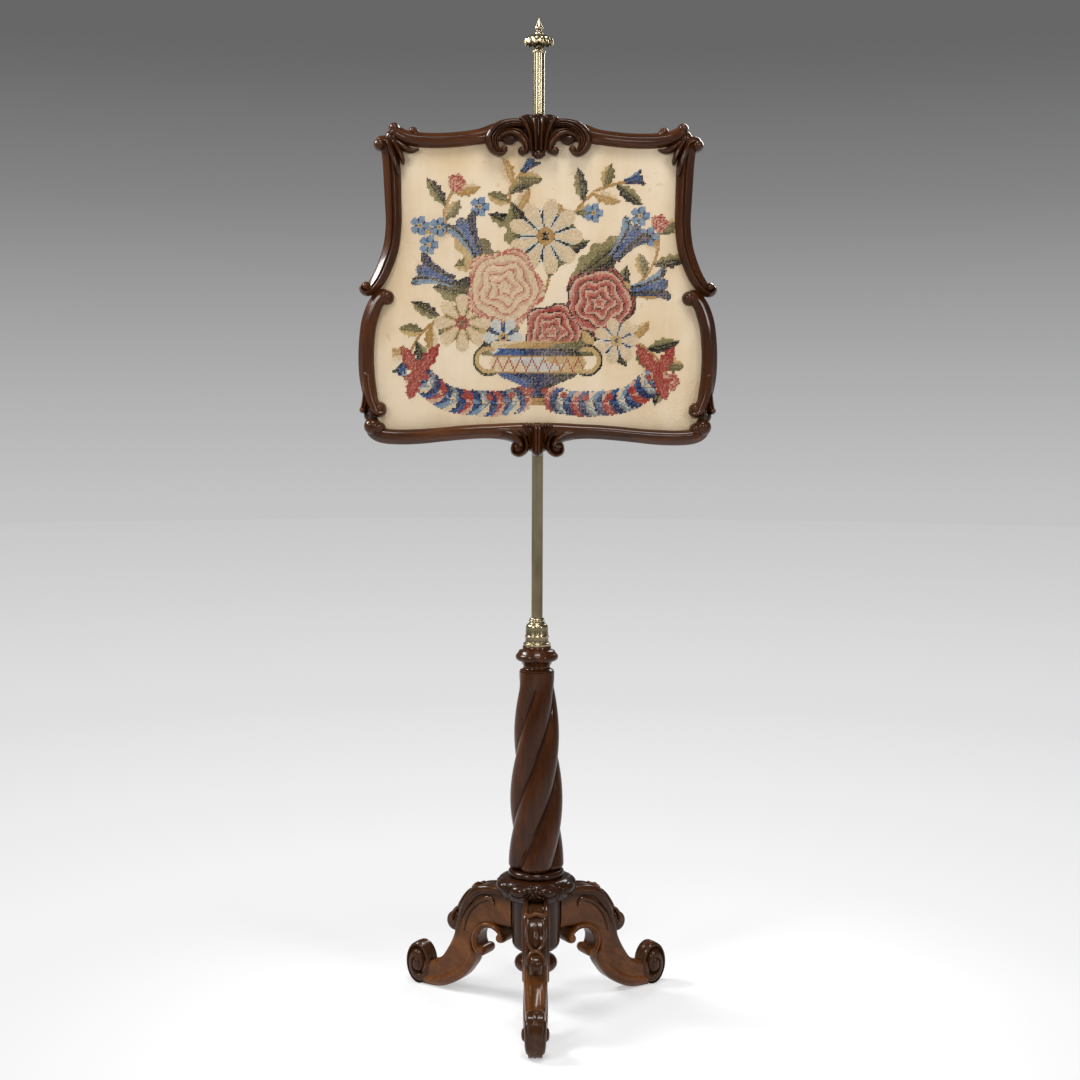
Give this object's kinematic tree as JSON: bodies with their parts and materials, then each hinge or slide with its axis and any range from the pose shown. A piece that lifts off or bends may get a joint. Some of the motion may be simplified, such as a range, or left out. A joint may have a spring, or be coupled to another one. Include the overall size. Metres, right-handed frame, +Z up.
{
  "type": "pole screen",
  "caption": "Antique pole screen: a needlework panel in a carved scroll frame that slides and turns on a brass pole, over a twisted column and scrolled tripod legs.",
  "frame": {"origin": "on the floor, under the middle of the footprint; the pole's axis stands 49.6 mm behind it", "axes": "+Z up along the pole, -Y towards the viewer who faces the needlework, +X to that viewer's right"},
  "size_m": [0.4958, 0.3396, 1.4],
  "materials": {
    "carved_wood": "French-polished dark rosewood or mahogany",
    "hidden_wood": "bare pine",
    "back_wood": "oiled thin board",
    "brass": "aged, with a dull greenish film",
    "wool_canvas": "wool tent stitch on cream canvas"
  },
  "bodies": {
    "stand": {"hub": "carved_wood", "leg_front": "carved_wood", "leg_left": "carved_wood", "leg_right": "carved_wood", "drop_finial": "carved_wood", "column": "carved_wood", "ferrule": "brass", "pole": "brass", "pole_cap": "brass"},
    "finial": {"finial": "brass"},
    "clamp": {"clamp_collar": "brass"},
    "thumbscrew": {"thumbscrew": "brass"},
    "screen": {"top_rail": "carved_wood", "bottom_rail": "carved_wood", "left_stile": "carved_wood", "right_stile": "carved_wood", "corner_dowels": "hidden_wood", "strainer_top": "hidden_wood", "strainer_bottom": "hidden_wood", "strainer_left": "hidden_wood", "strainer_right": "hidden_wood", "needlework": "wool_canvas", "backboard": "back_wood", "backboard_brads": "brass", "upper_bracket": "brass", "lower_bracket": "brass", "bracket_screws": "brass"}
  },
  "joints": [
    {"name": "finial_turn", "type": "hinge", "parent": "stand", "child": "finial", "pos_m": [0, 0.05019, 1.352], "axis": [0, 0, 1], "range_deg": [0, 720]},
    {"name": "clamp_slide", "type": "slide", "parent": "stand", "child": "clamp", "axis": [0, 0, 1], "range_m": [-0.24, 0.1]},
    {"name": "thumbscrew_turn", "type": "hinge", "parent": "clamp", "child": "thumbscrew", "pos_m": [0, 0.05019, 1.22896], "axis": [0, 1, 0], "range_deg": [0, 720]},
    {"name": "screen_swivel", "type": "hinge", "parent": "clamp", "child": "screen", "pos_m": [0, 0.05019, 1.22896], "axis": [0, 0, 1], "continuous": true}
  ]
}
